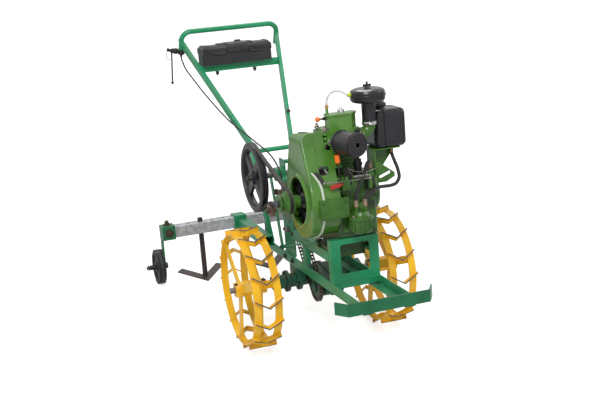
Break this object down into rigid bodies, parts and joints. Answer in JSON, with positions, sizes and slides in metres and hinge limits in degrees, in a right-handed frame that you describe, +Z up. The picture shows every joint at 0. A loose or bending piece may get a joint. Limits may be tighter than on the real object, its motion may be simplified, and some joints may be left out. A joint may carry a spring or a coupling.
{
  "type": "walk-behind mini tractor",
  "caption": "Walk-behind mini tractor: open diesel engine on an angle-iron frame, belt and chain drive, lugged cage wheels, toolbar with sweeps, bow handle with tool box.",
  "frame": {"origin": "on the ground under the centre of the overall box", "axes": "+Z up, +Y backwards to the handles, -Y forwards to the bumper; the belt drive is on the -X side"},
  "size_m": [1.195, 2.0006, 1.1922],
  "materials": {
    "frame_green": "worn semi-gloss green paint",
    "engine_green": "green paint over castings",
    "cast_iron_green": "green paint over cast iron",
    "frame_casting": "dark green paint over cast iron",
    "wheel_yellow": "yellow paint, worn at the lugs",
    "galvanised": "dull zinc",
    "bare_steel": "machined steel, lightly rusted",
    "black_paint": "satin black",
    "black_iron": "dark cast iron",
    "rubber_black": "matt",
    "clear_hose": "clear, slightly yellowed",
    "black_plastic": "matt",
    "chain_steel": "oiled, brown"
  },
  "bodies": {
    "frame": {"air_cleaner": "black_paint", "bearer_left": "frame_green", "bearer_right": "frame_green", "big_pulley": "black_iron", "breather_hose": "clear_hose", "bumper": "frame_green", "chains": "chain_steel", "clutch_cable": "rubber_black", "clutch_lever": "black_paint", "control_arm": "black_paint", "control_levers": "black_paint", "countershaft": "bare_steel", "crankcase": "engine_green", "cylinder": "cast_iron_green", "cylinder_head": "engine_green", "depth_bracket_left": "frame_green", "depth_bracket_right": "frame_green", "drawbar_left": "frame_green", "drawbar_right": "frame_green", "drive_belt": "rubber_black", "engine_pulley": "engine_green", "fan_shroud": "engine_green", "flywheel": "black_iron", "fuel_filter": "engine_green", "fuel_hoses": "rubber_black", "fuel_tank": "black_paint", "gearbox": "frame_casting", "handle_bow": "frame_green", "handle_cross": "frame_green", "handle_side_left": "frame_green", "handle_side_right": "frame_green", "handle_tube": "frame_green", "idler_arm": "bare_steel", "intake_elbow": "engine_green", "layshaft": "bare_steel", "layshaft_stand": "frame_green", "muffler": "black_paint", "portal": "frame_green", "rail_left": "frame_green", "rail_right": "frame_green", "tank_bracket": "engine_green", "tool_box_base": "black_plastic", "toolbar": "galvanised", "tynes": "bare_steel"},
    "wheelset": {"axle": "bare_steel", "cage_wheel_left": "wheel_yellow", "cage_wheel_right": "wheel_yellow"},
    "depth_wheel_left": {"depth_wheel_left": "black_plastic"},
    "depth_wheel_right": {"depth_wheel_right": "black_plastic"},
    "tool_box_lid": {"tool_box_lid": "black_plastic"}
  },
  "joints": [
    {"name": "wheelset_turn", "type": "hinge", "parent": "frame", "child": "wheelset", "pos_m": [0, -0.25724, 0.25642], "axis": [1, 0, 0], "continuous": true},
    {"name": "depth_wheel_left_turn", "type": "hinge", "parent": "frame", "child": "depth_wheel_left", "pos_m": [-0.5445, 0.39637, 0.08], "axis": [1, 0, 0], "continuous": true},
    {"name": "depth_wheel_right_turn", "type": "hinge", "parent": "frame", "child": "depth_wheel_right", "pos_m": [0.5445, 0.39637, 0.08], "axis": [1, 0, 0], "continuous": true},
    {"name": "tool_box_lid_hinge", "type": "hinge", "parent": "frame", "child": "tool_box_lid", "pos_m": [0, 0.73434, 0.97895], "axis": [1, 0, 0], "range_deg": [0, 100]}
  ]
}
